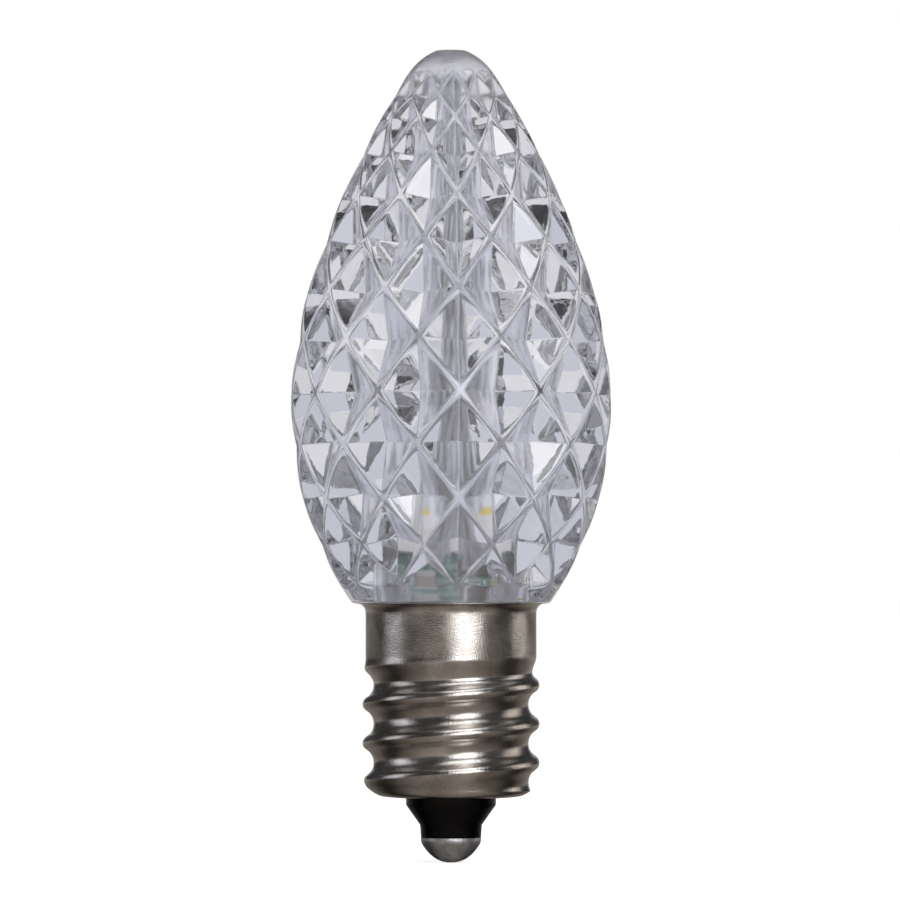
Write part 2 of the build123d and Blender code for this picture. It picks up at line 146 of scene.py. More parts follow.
SHOULDER_RADIUS, SHOULDER_LEAN = lean_in(BELLY_RADIUS, 0, UPPER_ARC, SHOULDER_HEIGHT - BELLY_HEIGHT)
CROWN_RADIUS, CROWN_LEAN = lean_in(
    SHOULDER_RADIUS, SHOULDER_LEAN, SHOULDER_ARC, CROWN_HEIGHT - SHOULDER_HEIGHT
)
CROWN_CHORD = Vector((TIP_FLAT - CROWN_RADIUS, COVER_HEIGHT - CROWN_HEIGHT))
CROWN_INWARD = Vector((-math.cos(CROWN_LEAN), -math.sin(CROWN_LEAN)))
CROWN_ARC = CROWN_CHORD.length_squared / (2 * CROWN_CHORD.dot(CROWN_INWARD))
CROWN_CENTRE = Vector((CROWN_RADIUS, CROWN_HEIGHT)) + CROWN_INWARD * CROWN_ARC


def cover_at(height):
    """Radius and inward lean of the cover's outline at a height above its rim."""
    if height < BELLY_HEIGHT:
        radius, lean = lean_in(BELLY_RADIUS, 0, LOWER_ARC, BELLY_HEIGHT - height)
        return radius, -lean
    if height < SHOULDER_HEIGHT:
        return lean_in(BELLY_RADIUS, 0, UPPER_ARC, height - BELLY_HEIGHT)
    if height < CROWN_HEIGHT:
        return lean_in(SHOULDER_RADIUS, SHOULDER_LEAN, SHOULDER_ARC, height - SHOULDER_HEIGHT)
    lean = math.asin((height - CROWN_CENTRE.y) / CROWN_ARC)
    return CROWN_CENTRE.x + CROWN_ARC * math.cos(lean), lean


def on_cover(height, azimuth):
    """Point of the smooth ovoid, in millimetres."""
    radius = cover_at(height)[0]
    turn = math.radians(azimuth)
    return Vector((radius * math.cos(turn), radius * math.sin(turn), height))


def pit_facets(row):
    """Corners of a row's pit, its deepest point, and the plane of each of its facets."""
    level = ROWS[row]
    across = HALF_STEP * PIT_SHARE
    above = ROWS[row + 1] if row < len(ROWS) - 1 else None
    below = ROWS[row - 1] if row > 0 else None
    corners = [on_cover(level, across)]
    if above is not None:
        corners.append(on_cover(level + PIT_SHARE * (above - level), 0))
    corners.append(on_cover(level, -across))
    if below is not None:
        corners.append(on_cover(level - PIT_SHARE * (level - below), 0))
    if above is not None and below is not None:
        centre, depth = level, PIT_DEPTH * cover_at(level)[0] / BELLY_RADIUS
    else:
        beyond = below if above is None else above
        centre = level + HALF_PIT_SHARE * (beyond - level)
        depth = HALF_PIT_DEPTH * cover_at(level)[0] / cover_at(ROWS[0])[0]
    lean = cover_at(centre)[1]
    deepest = on_cover(centre, 0) - Vector((math.cos(lean), 0, math.sin(lean))) * depth
    planes = []
    for number, corner in enumerate(corners):
        planes.append((corners[number - 1] - deepest).cross(corner - deepest).normalized())
    return centre, deepest, planes


def worked_point(facets, across, height, edge):
    """Point of a pit's cell: flat facets below the ovoid, with the ridge's edge rounded.

    The edge value is 1 on the border to the next cell, where both cells have to reach the ovoid itself.
    """
    centre, deepest, planes = facets
    turn = math.radians(HALF_STEP * across)
    smooth_radius = cover_at(height)[0]
    away = Vector((math.cos(turn), math.sin(turn), 0))
    here = Vector((0, 0, height))
    floor_radius = max(plane.dot(deepest - here) / plane.dot(away) for plane in planes)
    easing = RIDGE_ROUNDING * smooth_radius / BELLY_RADIUS
    near = max(0, easing - abs(smooth_radius - floor_radius)) / easing
    fade = min(1, (1 - edge) / RIDGE_MIDDLE)
    radius = min(smooth_radius, floor_radius) - near * near * fade * easing / 4
    return Vector((radius * math.cos(turn), radius * math.sin(turn), RIM + height))


def whole_cell(row):
    """Points and faces of one whole pit with half of the ridges round it."""
    facets = pit_facets(row)
    level, drop = ROWS[row], ROWS[row] - facets[1].z
    spread = [-share for share in reversed(SPREAD[1:])] + list(SPREAD)
    count = len(spread)
    points = []
    for p in spread:
        for q in spread:
            across, up = (p - q) / 2, (p + q) / 2
            span = ROWS[row + 1] - level if up > 0 else level - ROWS[row - 1]
            edge = max(abs(p), abs(q))
            inside = max(0, 1 - edge / PIT_SHARE)
            points.append(worked_point(facets, across, level + up * span - drop * inside, edge))
    faces = []
    for i in range(count - 1):
        for j in range(count - 1):
            a, b, c, d = i * count + j, (i + 1) * count + j, (i + 1) * count + j + 1, i * count + j + 1
            if i == j:
                faces += [(a, b, c), (a, c, d)]
            elif i + j == count - 2:
                faces += [(a, b, d), (b, c, d)]
            else:
                faces.append((a, b, c, d))
    return points, faces


def half_cell(row):
    """Points and faces of one half pit, in rings round its deepest point, and the strips beyond it."""
    facets = pit_facets(row)
    level = ROWS[row]
    beyond = ROWS[1] if row == 0 else ROWS[-2]
    spread = [-share for share in reversed(SPREAD[1:])] + list(SPREAD)
    rim_line = [(across, 0) for across in spread]
    right = [(1 - (share + 1) / 2, (share + 1) / 2) for share in spread[1:]]
    left = [(-across, up) for across, up in reversed(right[:-1])]
    outer = rim_line + right + left
    middle = (facets[1].z - level) / (beyond - level)
    points, faces = [], []
    for share in HALF_RINGS:
        for across, up in outer:
            climb = middle + (up - middle) * share
            edge = abs(across * share) + climb
            points.append(worked_point(facets, across * share, level + climb * (beyond - level), edge))
    count = len(outer)
    for ring in range(len(HALF_RINGS) - 1):
        for step in range(count):
            a, b = ring * count + step, ring * count + (step + 1) % count
            faces.append((a, b, b + count, a + count))
    first = len(points)
    for height in RIM_STRIPS if row == 0 else CROWN_STRIPS:
        points += [worked_point(facets, across, height, abs(across)) for across, _ in rim_line]
    wide = len(rim_line)
    for strip in range(len(RIM_STRIPS if row == 0 else CROWN_STRIPS) - 1):
        for step in range(wide - 1):
            a = first + strip * wide + step
            faces.append((a, a + 1, a + 1 + wide, a + wide))
    return points, faces


# Clear cover. Ridges that follow the globe between flat pits, with rounded edges, can't be had from cuts
# alone, so the lattice is laid out point by point and the rest is extruded from its two end rings.
points, faces = [], []
for row in range(len(ROWS)):
    cell_points, cell_faces = half_cell(row) if row in (0, len(ROWS) - 1) else whole_cell(row)
    for number in range(PITS_ROUND):
        azimuth = LATTICE_PHASE + HALF_STEP * (1 - row % 2) - 90 + 360 / PITS_ROUND * number
        turned = Matrix.Rotation(math.radians(azimuth), 3, "Z")
        faces += [tuple(len(points) + index for index in face) for face in cell_faces]
        points += [turned @ point * MM for point in cell_points]
mesh = bpy.data.meshes.new("clear_cover")
mesh.from_pydata(points, [], faces)
cover = bpy.data.objects.new("clear_cover", mesh)
bpy.context.scene.collection.objects.link(cover)
bpy.ops.object.select_all(action="DESELECT")
bpy.context.view_layer.objects.active = cover
cover.select_set(True)
bpy.ops.object.mode_set(mode="EDIT")
bpy.ops.mesh.select_mode(type="VERT")
bpy.ops.mesh.select_all(action="SELECT")
bpy.ops.mesh.remove_doubles(threshold=WELD * MM)


def end_ring(piece, height):
    """Selects the open ring at this height."""
    bpy.ops.mesh.select_all(action="DESELECT")
    edited = bmesh.from_edit_mesh(piece.data)
    for vertex in edited.verts:
        if abs(vertex.co.z - height * MM) < RING_REACH * MM and vertex.is_boundary:
            vertex.select_set(True)
    edited.select_flush(True)
    bmesh.update_edit_mesh(piece.data)


def draw_out(outline):
    """Extrudes the selected ring along an outline of radius and height, down to a point at the axis."""
    (radius, height), rest = outline[0], outline[1:]
    for next_radius, next_height in rest:
        rise = Vector((0, 0, (next_height - height) * MM))
        bpy.ops.mesh.extrude_edges_move(TRANSFORM_OT_translate={"value": rise})
        if next_radius == 0:
            bpy.ops.mesh.merge(type="CENTER")
            return
        ratio = next_radius / radius
        bpy.ops.transform.resize(value=(ratio, ratio, 1), center_override=(0, 0, 0))
        radius, height = next_radius, next_height


end_ring(cover, RIM + CROWN_STRIPS[-1])
crown = [(cover_at(CROWN_STRIPS[-1])[0], RIM + CROWN_STRIPS[-1])]
first_lean, last_lean = cover_at(CROWN_STRIPS[-1])[1], cover_at(COVER_HEIGHT - JUST_BELOW)[1]
for step in range(1, CROWN_RINGS + 1):
    lean = first_lean + (last_lean - first_lean) * step / CROWN_RINGS
    crown.append((
        CROWN_CENTRE.x + CROWN_ARC * math.cos(lean), RIM + CROWN_CENTRE.y + CROWN_ARC * math.sin(lean)
    ))
crown += [(TIP_RING, RIM + COVER_HEIGHT), (0, RIM + COVER_HEIGHT)]
draw_out(crown)

end_ring(cover, RIM + RIM_STRIPS[-1])
inner = [(cover_at(RIM_STRIPS[-1])[0], RIM + RIM_STRIPS[-1])]
for height, inset in RIM_ROUNDING:
    inner.append((cover_at(height if inset == 0 else 0)[0] - inset, RIM + height))
inner += [(SEAT_RADIUS, RIM), (SPIGOT_RADIUS, RIM - (SEAT_RADIUS - SPIGOT_RADIUS))]
inner += [(SPIGOT_RADIUS, SPIGOT_FOOT), (MOUTH_RADIUS, SPIGOT_FOOT), (MOUTH_RADIUS, MOUTH_TOP)]
bore_lean = math.atan2(BORE_RADIUS - BORE_TIP_RADIUS, BORE_TIP_HEIGHT)
for step in range(BORE_RINGS + 1):
    taper = (BORE_TIP_RADIUS - BORE_RADIUS) * step / BORE_RINGS
    inner.append((BORE_RADIUS + taper, RIM + BORE_TIP_HEIGHT * step / BORE_RINGS))
end_radius = BORE_TIP_RADIUS / math.cos(bore_lean)
end_centre = RIM + BORE_TIP_HEIGHT - BORE_TIP_RADIUS * math.tan(bore_lean)
for step in range(1, BORE_TIP_RINGS):
    turn = bore_lean + (math.pi / 2 - bore_lean) * step / BORE_TIP_RINGS
    inner.append((end_radius * math.cos(turn), end_centre + end_radius * math.sin(turn)))
inner.append((0, end_centre + end_radius))
draw_out(inner)
bpy.ops.mesh.select_all(action="SELECT")
bpy.ops.mesh.normals_make_consistent(inside=False)
bpy.ops.object.mode_set(mode="OBJECT")

# Mark of the mould's gate, a little off the crown's middle
bpy.ops.object.select_all(action="DESELECT")
bpy.ops.mesh.primitive_cylinder_add(
    vertices=24, radius=GATE_RADIUS * MM, depth=2 * GATE_RISE * MM,
    location=(GATE_OFFSET * MM, 0, (RIM + COVER_HEIGHT) * MM),
)
bpy.ops.object.transform_apply(location=True, rotation=True, scale=True)
gate = bpy.context.object
fuse(cover, gate)
smooth(cover, 24)

# Phosphor of the light source, domed over the package's cavity
phosphor = spun("phosphor_dome", [
    (0, 21.58), (0.95, 21.58), (1.20, 22.25), (1.16, 22.42), (1.04, 22.58), (0.84, 22.72), (0.56, 22.82),
    (0.28, 22.87), (0, 22.88),
], 48)
smooth(phosphor, 50)

# Black glass of the tip
insulator = spun("glass_insulator", [
    (0.80, 1.63), (1.96, 1.63), (1.985, 1.95), (2.00, 2.20), (2.015, 2.40), (2.03, 2.46), (2.08, 2.54),
    (2.90, 3.70), (2.935, 3.76), (2.94, 3.83), (2.94, 4.49), (3.95, 4.49), (4.03, 4.52), (4.05, 4.60),
    (4.05, 5.20), (4.02, 5.27), (3.95, 5.29), (1.60, 5.29), (0.80, 4.39), (0.80, 1.63),
], 96)
smooth(insulator, 30)

# Solder on the tip
solder = spun("tip_solder_bead", [
    (0, 0), (0.30, 0.02), (0.60, 0.08), (0.90, 0.20), (1.15, 0.36), (1.38, 0.55), (1.60, 0.78),
    (1.78, 1.02), (1.90, 1.22), (1.955, 1.38), (1.96, 1.50), (1.96, 1.63), (0, 1.63),
], 96)
smooth(solder, 40)


# Rolled screw shell: a turned skin, then the thread is rolled into it and the sheet gets its thickness
SHEET = 0.25
PITCH = 2.54
CREST, ROOT, BAND = 5.78, 5.06, 5.58
CREST_ARC = 0.50
CREST_HEIGHT = 11.60
ROOT_ARC = ((PITCH / 2) ** 2 + (CREST - ROOT) ** 2) / (2 * (CREST - ROOT)) - CREST_ARC
FLANK = (PITCH / 2) / (CREST_ARC + ROOT_ARC)
FADE_START, FADE_LENGTH = 11.70, 1.80
WALL_FOOT, WALL_STEP, WALL_RINGS = 6.04, 0.09, 86
FLOOR_LEVEL, CORNER_TOP, CORNER_ROUNDING = 4.27, 6.0, 0.20
BELOW_FLARE = 0.01
SHELL_STEPS = 192
FLARE, FLARE_FOOT, FLARE_RINGS, FLARE_LIP = 0.55, 16.33, 8, 6.20


def rolled_radius(height, azimuth):
    """Outer radius of the rolled sheet: the thread fades into the plain band towards the top."""
    rise = (height - CREST_HEIGHT - PITCH * azimuth / math.tau) % PITCH
    from_crest = min(rise, PITCH - rise)
    if from_crest <= CREST_ARC * FLANK:
        radius = CREST - CREST_ARC + math.sqrt(CREST_ARC ** 2 - from_crest ** 2)
    else:
        radius = ROOT + ROOT_ARC - math.sqrt(ROOT_ARC ** 2 - (PITCH / 2 - from_crest) ** 2)
    share = min(1, max(0, (height - FADE_START) / FADE_LENGTH))
    share = share * share * (3 - 2 * share)
    return radius + (BAND - radius) * share


def shell_outline():
    """Outer skin of the shell: floor, corner, wall and flare."""
    outline = [(2.98, 4.24), (3.40, 4.24), (3.80, 4.25), (4.15, 4.28)]
    outline += [(4.35, 4.30), (4.55, 4.33), (4.74, 4.39), (4.92, 4.48), (5.08, 4.57), (5.24, 4.68)]
    outline += [(5.40, 4.80), (5.53, 4.93), (5.63, 5.10), (5.70, 5.32), (5.74, 5.58), (5.77, 5.82)]
    outline += [(CREST, WALL_FOOT + WALL_STEP * step) for step in range(WALL_RINGS)]
    outline += [(CREST, height) for height in (13.9, 14.3, 14.8, 15.3, 15.8, 16.10)]
    for step in range(FLARE_RINGS + 1):
        turn = math.radians(90 * step / FLARE_RINGS)
        outline.append((BAND + FLARE - FLARE * math.cos(turn), FLARE_FOOT + FLARE * math.sin(turn)))
    outline.append((FLARE_LIP, FLARE_FOOT + FLARE))
    return outline


shell = spun("rolled_shell", shell_outline(), SHELL_STEPS)
for vertex in shell.data.vertices:
    height = vertex.co.z / MM
    if FLOOR_LEVEL < height < FLARE_FOOT - BELOW_FLARE:
        radius = math.hypot(vertex.co.x, vertex.co.y) / MM
        rolled = rolled_radius(height, math.atan2(vertex.co.y, vertex.co.x))
        if height < CORNER_TOP:
            near = max(0, CORNER_ROUNDING - abs(radius - rolled)) / CORNER_ROUNDING
            rolled = min(radius, rolled) - near * near * CORNER_ROUNDING / 4
        vertex.co.x *= rolled / radius
        vertex.co.y *= rolled / radius
bpy.ops.object.select_all(action="DESELECT")
bpy.context.view_layer.objects.active = shell
shell.select_set(True)
if sum(face.normal.x * face.center.x + face.normal.y * face.center.y for face in shell.data.polygons) < 0:
    bpy.ops.object.mode_set(mode="EDIT")
    bpy.ops.mesh.select_all(action="SELECT")
    bpy.ops.mesh.flip_normals()
    bpy.ops.object.mode_set(mode="OBJECT")
sheet = shell.modifiers.new("sheet", "SOLIDIFY")
sheet.thickness = SHEET * MM
sheet.offset = -1
sheet.use_even_offset = True
bpy.ops.object.modifier_apply(modifier=sheet.name)
smooth(shell, 40)


# Materials

def colour(code):
    """sRGB hex to the linear colour of a socket."""
    parts = [int(code[i:i + 2], 16) / 255 for i in (0, 2, 4)]
    return tuple(p / 12.92 if p <= 0.04045 else ((p + 0.055) / 1.055) ** 2.4 for p in parts) + (1.0,)


def new_material(name):
    """An empty node material and its tree."""
    made = bpy.data.materials.new(name)
    made.use_nodes = True
    made.node_tree.nodes.clear()
    return made, made.node_tree


def add(tree, kind, values=None, links=None, **settings):
    """Adds a node with its own settings, its socket values and the sockets that feed it."""
    made = tree.nodes.new(kind)
    for field, value in settings.items():
        setattr(made, field, value)
    for socket, value in (values or {}).items():
        made.inputs[socket].default_value = value
    for socket, source in (links or {}).items():
        tree.links.new(source, made.inputs[socket])
    return made


# Polycarbonate, injection moulded in a polished tool: flat bright facets, a breath of lavender grey and
# a trace of haze in the thickness, a faint flow waviness that moves what shows through it, and a bore left
# satin by its core. Lamps shine through it on the board, which sharp caustics would leave dark.
clear_plastic, tree = new_material("clear_polycarbonate")
place = add(tree, "ShaderNodeTexCoord")
flow = add(
    tree, "ShaderNodeTexNoise", {"Scale": 1 / (0.9 * MM), "Detail": 2.0}, {"Vector": place.outputs["Object"]}
)
rounding = add(tree, "ShaderNodeBevel", {"Radius": 0.12 * MM}, samples=6)
waves = add(
    tree, "ShaderNodeBump", {"Strength": 0.40, "Distance": 0.03 * MM},
    {"Height": flow.outputs["Fac"], "Normal": rounding.outputs["Normal"]},
)
split = add(tree, "ShaderNodeVectorMath", {1: (1, 1, 0)}, {0: place.outputs["Object"]}, operation="MULTIPLY")
radius = add(tree, "ShaderNodeVectorMath", links={0: split.outputs[0]}, operation="LENGTH")
satin_bore = add(
    tree, "ShaderNodeMapRange",
    {"From Min": 3.6 * MM, "From Max": 4.2 * MM, "To Min": 0.22, "To Max": 0.01},
    {"Value": radius.outputs["Value"]},
)
surface = add(
    tree, "ShaderNodeBsdfPrincipled",
    {"Base Color": colour("F2F2F8"), "IOR": 1.585, "Transmission Weight": 0.975},
    {"Normal": waves.outputs["Normal"], "Roughness": satin_bore.outputs["Result"]},
)
path = add(tree, "ShaderNodeLightPath")
passing = add(tree, "ShaderNodeBsdfTransparent", {"Color": (0.95, 0.95, 0.96, 1)})
seen = add(
    tree, "ShaderNodeMixShader",
    links={0: path.outputs["Is Shadow Ray"], 1: surface.outputs["BSDF"], 2: passing.outputs["BSDF"]},
)
add(tree, "ShaderNodeOutputMaterial", links={"Surface": seen.outputs[0]})


def grain(tree, size, detail=2.0):
    """Noise of this grain size in millimetres, fixed to the piece."""
    place = add(tree, "ShaderNodeTexCoord")
    noise = add(
        tree, "ShaderNodeTexNoise", {"Scale": 1 / (size * MM), "Detail": detail},
        {"Vector": place.outputs["Object"]},
    )
    return noise.outputs["Fac"]


def ranged(tree, source, low, high, first=0.3, last=0.7):
    """Spreads a value between two levels."""
    made = add(
        tree, "ShaderNodeMapRange", {"From Min": first, "From Max": last, "To Min": low, "To Max": high},
        {"Value": source},
    )
    return made.outputs["Result"]


def mottled(name, dark, light, patch, rough, relief, texture, **values):
    """Two close colours in patches, roughness that follows them, and a finer speckle in colour and relief."""
    made, tree = new_material(name)
    patches = grain(tree, patch)
    speckle = add(
        tree, "ShaderNodeMath", {1: 0.5}, {0: grain(tree, texture, 3.0), 2: patches}, operation="MULTIPLY_ADD"
    )
    tone = add(
        tree, "ShaderNodeMix", {"A": colour(dark), "B": colour(light)},
        {"Factor": ranged(tree, speckle.outputs[0], 0, 1, 0.55, 0.95)}, data_type="RGBA",
    )
    bump = add(
        tree, "ShaderNodeBump", {"Strength": relief, "Distance": 0.02 * MM},
        {"Height": grain(tree, texture, 3.0)},
    )
    surface = add(
        tree, "ShaderNodeBsdfPrincipled",
        {key.replace("_", " "): value for key, value in values.items()},
        {
            "Base Color": tone.outputs["Result"],
            "Roughness": ranged(tree, patches, *rough),
            "Normal": bump.outputs["Normal"],
        },
    )
    add(tree, "ShaderNodeOutputMaterial", links={"Surface": surface.outputs["BSDF"]})
    return made


def chip(name, axis, centre, half, dark, light):
    """A surface mount part: fired body, and tinned ends beyond half its bare length."""
    made, tree = new_material(name)
    place = add(tree, "ShaderNodeTexCoord")
    split = add(tree, "ShaderNodeSeparateXYZ", links={0: place.outputs["Object"]})
    along = add(tree, "ShaderNodeMath", {1: centre * MM}, {0: split.outputs[axis]}, operation="SUBTRACT")
    reach = add(tree, "ShaderNodeMath", links={0: along.outputs[0]}, operation="ABSOLUTE")
    ends = add(tree, "ShaderNodeMath", {1: half * MM}, {0: reach.outputs[0]}, operation="GREATER_THAN")
    body = add(
        tree, "ShaderNodeMix", {"A": colour(dark), "B": colour(light)},
        {"Factor": ranged(tree, grain(tree, 0.25), 0, 1)}, data_type="RGBA",
    )
    tone = add(
        tree, "ShaderNodeMix", {"B": colour("C9C8C4")},
        {"Factor": ends.outputs[0], "A": body.outputs["Result"]}, data_type="RGBA",
    )
    bump = add(
        tree, "ShaderNodeBump", {"Strength": 0.3, "Distance": 0.01 * MM}, {"Height": grain(tree, 0.08, 3.0)}
    )
    surface = add(
        tree, "ShaderNodeBsdfPrincipled", {"Roughness": 0.38},
        {
            "Base Color": tone.outputs["Result"],
            "Metallic": ends.outputs[0],
            "Normal": bump.outputs["Normal"],
        },
    )
    add(tree, "ShaderNodeOutputMaterial", links={"Surface": surface.outputs["BSDF"]})
    return made


# Nickel plated on rolled brass sheet, barrel finished: satin and a little brown, with fine pits that sparkle
# along the edge of each highlight. The pits are drawn coarser than they are, or they wouldn't show.
nickel = mottled(
    "satin_nickel_plate", "ACA7A1", "E0DCD8", 1.8, (0.16, 0.22), 0.70, 0.09, Metallic=1.0,
)

# Black glass, pressed and fire polished: so deep a gloss that only the lamps show in it.
black_glass = mottled(
    "pressed_black_glass", "020203", "060607", 1.5, (0.04, 0.09), 0.15, 0.80,
    IOR=1.52, Specular_IOR_Level=0.2,
)

# Tin solder that set in air: dull grey skin with a few bright wrinkles.
dull_solder = mottled(
    "dull_tin_solder", "D0D2DA", "EEF0F5", 0.45, (0.32, 0.48), 1.00, 0.25, Metallic=1.0,
)

# Stamped brass of the tip's eyelet: warm, faintly streaked by the press.
stamped_brass = mottled(
    "stamped_brass", "A98A4E", "C2A366", 0.60, (0.25, 0.38), 0.30, 0.12, Metallic=1.0,
)

# Tinned copper wire and strip: silver grey with soft dull patches.
tinned_wire = mottled(
    "tinned_copper_wire", "A8A7A3", "C9C8C4", 0.35, (0.22, 0.36), 0.25, 0.10, Metallic=1.0,
)

# White moulded package of the light source: clean, faintly chalky.
package_white = mottled(
    "moulded_package_white", "DEDDD8", "EDECE8", 0.50, (0.35, 0.50), 0.20, 0.10,
)

# Silicone full of yellow phosphor: saturated, with grains of lighter powder.
phosphor_gel = mottled(
    "yellow_phosphor_gel", "E3C83C", "F4E36A", 0.12, (0.22, 0.34), 0.35, 0.10,
)

# Black moulding compound of the rectifier: matte, sanded by its mould.
moulding_black = mottled(
    "black_moulding_compound", "141416", "1F1F21", 0.30, (0.45, 0.60), 0.40, 0.08,
)

# Adhesive dab: soft yellow green and half clear, with small bubbles.
soft_adhesive = mottled(
    "soft_adhesive", "BFC27C", "D6D79A", 0.60, (0.18, 0.30), 0.45, 0.35,
    Transmission_Weight=0.35, IOR=1.45,
)

# Chips: fired tan capacitors and black coated resistors, each with tinned ends.
smoothing_tan = chip("smoothing_capacitor_tan", "Z", 17.45, 1.22, "9C948A", "ADA499")
dropper_tan = chip("dropper_capacitor_tan", "Z", 10.70, 1.80, "83776B", "9A8D80")
limiting_black = chip("limiting_resistor_black", "X", 1.75, 0.72, "45423F", "5C5956")
bleed_black = chip("bleed_resistor_black", "X", 0.0, 1.22, "17171A", "26262A")

# Green solder mask over glass-fibre laminate: gloss green, lighter where a copper track lies under it,
# with the weave of the cloth as a faint relief.
board_green, tree = new_material("green_solder_mask")
place = add(tree, "ShaderNodeTexCoord")
split = add(tree, "ShaderNodeSeparateXYZ", links={0: place.outputs["Object"]})
flat = add(tree, "ShaderNodeCombineXYZ", links={"X": split.outputs["X"], "Y": split.outputs["Z"]})
tracks = add(
    tree, "ShaderNodeTexBrick",
    {
        "Scale": 1 / MM, "Color1": colour("5F7A70"), "Color2": colour("677F76"), "Mortar": colour("94ADA4"),
        "Mortar Size": 0.14, "Mortar Smooth": 0.2, "Brick Width": 2.3, "Row Height": 1.15,
    },
    {"Vector": flat.outputs[0]},
)
weave = add(tree, "ShaderNodeTexChecker", {"Scale": 1 / (0.25 * MM)}, {"Vector": place.outputs["Object"]})
bump = add(
    tree, "ShaderNodeBump", {"Strength": 0.15, "Distance": 0.01 * MM}, {"Height": weave.outputs["Fac"]}
)
surface = add(
    tree, "ShaderNodeBsdfPrincipled", {},
    {
        "Base Color": tracks.outputs["Color"],
        "Roughness": ranged(tree, grain(tree, 0.8), 0.22, 0.36),
        "Normal": bump.outputs["Normal"],
    },
)
add(tree, "ShaderNodeOutputMaterial", links={"Surface": surface.outputs["BSDF"]})


# Stage

# White paper sweep: pure white to the camera. Metal mirrors it with painted shade, warmer and darker, most of
# all near the lamp and to its sides, and plastic shows it cooler.
floor_white, tree = new_material("white_sweep")
path = add(tree, "ShaderNodeLightPath")
place = add(tree, "ShaderNodeTexCoord")
reach = add(tree, "ShaderNodeVectorMath", links={0: place.outputs["Object"]}, operation="LENGTH")
# Painted shade in reflections: the floor is darker close to the lamp and lighter further out.
painted_shade_by_reach = add(
    tree, "ShaderNodeMix", {"A": colour("A39B92"), "B": colour("D2CAC1")},
    {"Factor": ranged(tree, reach.outputs["Value"], 0, 1, 0.01, 0.22)}, data_type="RGBA",
)
ahead = add(tree, "ShaderNodeSeparateXYZ", links={0: place.outputs["Object"]})
turned = add(
    tree, "ShaderNodeMath", links={0: ahead.outputs["Y"], 1: reach.outputs["Value"]}, operation="DIVIDE"
)
facing = add(tree, "ShaderNodeMath", links={0: turned.outputs[0]}, operation="ABSOLUTE")
# Painted shade in reflections: the floor turns dark towards the lamp's sides.
painted_shade_at_sides = add(
    tree, "ShaderNodeMix", {"A": colour("35322F")},
    {"Factor": ranged(tree, facing.outputs[0], 0, 1, 0.15, 0.95), "B": painted_shade_by_reach.outputs["Result"]},
    data_type="RGBA",
)
# Only glossy rays see this painted shade; all other rays see the even paper colour.
tint = add(
    tree, "ShaderNodeMix", {"A": colour("E6E5E3")},
    {"Factor": path.outputs["Is Glossy Ray"], "B": painted_shade_at_sides.outputs["Result"]}, data_type="RGBA",
)
paper = add(tree, "ShaderNodeBsdfDiffuse", links={"Color": tint.outputs["Result"]})
cool = add(
    tree, "ShaderNodeMix", {"A": (1, 1, 1, 1), "B": (0.86, 0.92, 1.0, 1)},
    {"Factor": path.outputs["Is Transmission Ray"]}, data_type="RGBA",
)
glow = add(tree, "ShaderNodeEmission", links={"Color": cool.outputs["Result"]})
half = add(tree, "ShaderNodeMath", {1: 0.50}, {0: path.outputs["Is Transmission Ray"]}, operation="MULTIPLY")
lift = add(
    tree, "ShaderNodeMath", {1: 0.72}, {0: path.outputs["Is Camera Ray"], 2: half.outputs[0]},
    operation="MULTIPLY_ADD",
)
tree.links.new(lift.outputs[0], glow.inputs["Strength"])
both = add(tree, "ShaderNodeAddShader", links={0: paper.outputs[0], 1: glow.outputs[0]})
add(tree, "ShaderNodeOutputMaterial", links={"Surface": both.outputs[0]})

bpy.ops.object.select_all(action="DESELECT")
bpy.ops.mesh.primitive_plane_add(size=6, location=(0, 0, 0))
floor = bpy.context.object
floor.name = "floor"
dress(floor, floor_white)

# White studio wall: pure white to the camera, dark to metal except straight behind the lamp, and through
# plastic brightest behind the lamp and dark at the sides.
studio = bpy.data.worlds.new("studio")
studio.use_nodes = True
studio.node_tree.nodes.clear()
tree = studio.node_tree
bpy.context.scene.world = studio
path = add(tree, "ShaderNodeLightPath")
look = add(tree, "ShaderNodeTexCoord")
sides = add(tree, "ShaderNodeSeparateXYZ", links={0: look.outputs["Generated"]})
behind = add(
    tree, "ShaderNodeMapRange", {"From Min": 0.12, "From Max": 0.80, "To Min": 0.35, "To Max": 0.70},
    {"Value": sides.outputs["Y"]}, interpolation_type="SMOOTHSTEP",
)
aside = add(tree, "ShaderNodeMath", links={0: sides.outputs["X"]}, operation="ABSOLUTE")
edges = add(
    tree, "ShaderNodeMapRange", {"From Min": 0.60, "From Max": 0.90, "To Min": 1.0, "To Max": 0.15},
    {"Value": aside.outputs[0]}, interpolation_type="SMOOTHSTEP",
)
through = add(
    tree, "ShaderNodeMath", links={0: behind.outputs["Result"], 1: edges.outputs["Result"]},
    operation="MULTIPLY",
)
mirror = add(
    tree, "ShaderNodeMapRange", {"From Min": 0.95, "From Max": 0.98, "To Min": 0.05, "To Max": 1.0},
    {"Value": sides.outputs["Y"]}, interpolation_type="SMOOTHSTEP",
)
unlit = add(
    tree, "ShaderNodeMix", {"A": 0.45},
    {"Factor": path.outputs["Is Glossy Ray"], "B": mirror.outputs["Result"]},
)
unseen = add(
    tree, "ShaderNodeMix", links={
        "Factor": path.outputs["Is Transmission Ray"], "A": unlit.outputs["Result"], "B": through.outputs[0]
    }
)
level = add(
    tree, "ShaderNodeMix", {"B": 1.0},
    {"Factor": path.outputs["Is Camera Ray"], "A": unseen.outputs["Result"]},
)
hue = add(
    tree, "ShaderNodeMix", {"A": (1, 1, 1, 1), "B": (0.90, 0.92, 1.0, 1)},
    {"Factor": path.outputs["Is Transmission Ray"]}, data_type="RGBA",
)
sky = add(
    tree, "ShaderNodeBackground", links={"Color": hue.outputs["Result"], "Strength": level.outputs["Result"]}
)
add(tree, "ShaderNodeOutputWorld", links={"Surface": sky.outputs[0]})


LAMPS_AIM = 0.027


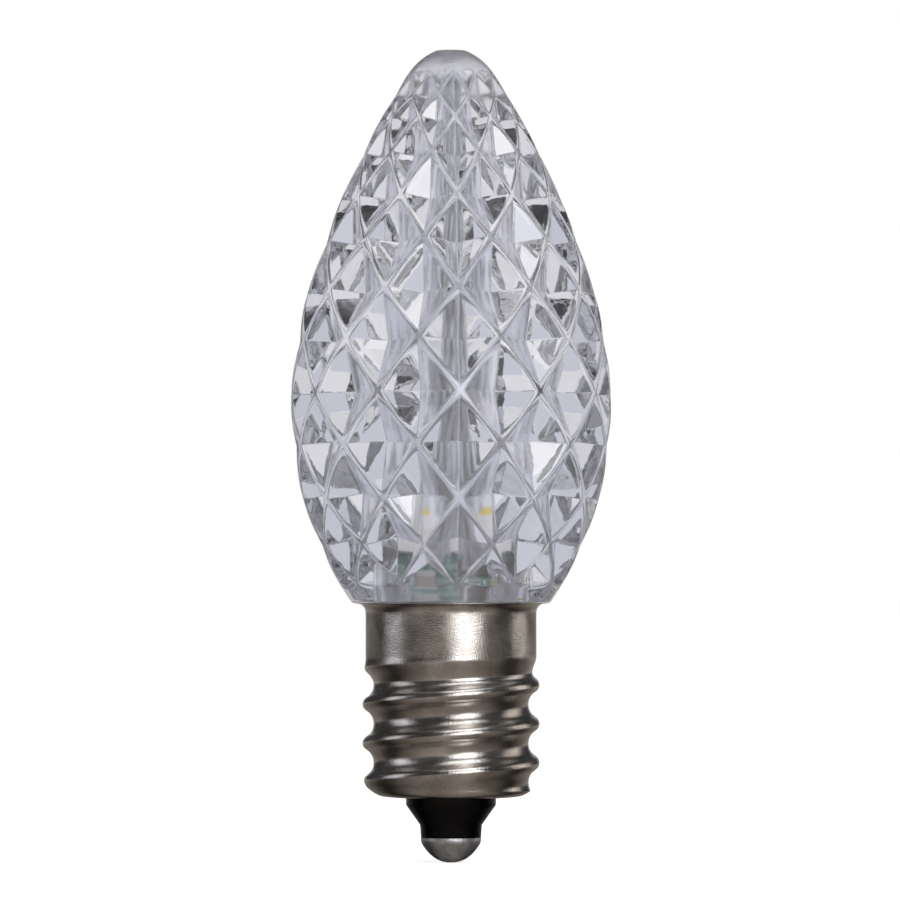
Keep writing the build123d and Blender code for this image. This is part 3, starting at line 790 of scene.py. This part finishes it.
def lamp(name, azimuth, elevation, distance, width, height, brightness, tint):
    """A soft panel that faces the lamp. Azimuth 0 is the camera's side and 90 its right."""
    a, e = math.radians(azimuth), math.radians(elevation)
    away = Vector((math.sin(a) * math.cos(e), -math.cos(a) * math.cos(e), math.sin(e)))
    bpy.ops.object.light_add(type="AREA", location=away * distance + Vector((0, 0, LAMPS_AIM)))
    panel = bpy.context.object
    panel.name = name
    panel.rotation_euler = away.to_track_quat("Z", "Y").to_euler()
    panel.data.shape = "RECTANGLE"
    panel.data.size, panel.data.size_y = width, height
    panel.data.energy = brightness * math.pi * width * height
    panel.data.color = colour(tint)[:3]
    panel.visible_camera = False
    panel.visible_transmission = False


lamp("key_panel", 20, 10, 1.0, 0.56, 0.70, 3.8, "FFFFFF")
lamp("left_strip", -83, 10, 1.0, 0.50, 0.9, 0.9, "F7F8FF")
lamp("right_strip", 107, 10, 1.0, 0.50, 0.9, 0.9, "FFF7EE")
lamp("top_panel", 20, 62, 1.0, 0.6, 0.5, 2.2, "FFFFFF")


# Camera. The picture's side, the lamp's axis and its lowest point are in the photo's pixels.
PIXEL = 0.0653
PICTURE, AXIS_COLUMN, TIP_ROW = 900, 451, 862
SENSOR = 36
aim = Vector(((PICTURE / 2 - AXIS_COLUMN) * PIXEL, 0, (TIP_ROW - PICTURE / 2) * PIXEL)) * MM
distance, dip = 0.40, math.radians(-1.25)
eye = aim + Vector((0, -math.cos(dip), math.sin(dip))) * distance
bpy.ops.object.camera_add(location=eye, rotation=(eye - aim).to_track_quat("Z", "Y").to_euler())
camera = bpy.context.object
camera.data.sensor_width = SENSOR
camera.data.lens = SENSOR * distance / (PICTURE * PIXEL * MM)
camera.data.clip_start, camera.data.clip_end = 0.01, 20
bpy.context.scene.camera = camera

scene_view = bpy.context.scene.view_settings
scene_view.view_transform = "Standard"

dress(cover, clear_plastic)
dress(shell, nickel)
dress(insulator, black_glass)
dress(solder, dull_solder)
dress(phosphor, phosphor_gel)
for node, material in (
    ("centre_contact", stamped_brass),
    ("circuit_board", board_green),
    ("led_package", package_white),
    ("led_terminals", tinned_wire),
    ("smoothing_capacitor", smoothing_tan),
    ("dropper_capacitor", dropper_tan),
    ("limiting_resistor", limiting_black),
    ("bleed_resistor", bleed_black),
    ("bridge_rectifier", moulding_black),
    ("rectifier_leads", tinned_wire),
    ("live_lead", tinned_wire),
    ("neutral_lead", tinned_wire),
    ("lead_joints", dull_solder),
    ("adhesive_dab", soft_adhesive),
):
    dress(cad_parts[node], material)
for piece, node, slot_name in (
    (cover, "cover", "clear_plastic"),
    (shell, "screw_shell", "nickel_plate"),
    (phosphor, "led_phosphor", "phosphor"),
    (insulator, "insulator", "black_glass"),
    (solder, "tip_solder", "solder"),
):
    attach(piece, "root")
    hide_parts(node)
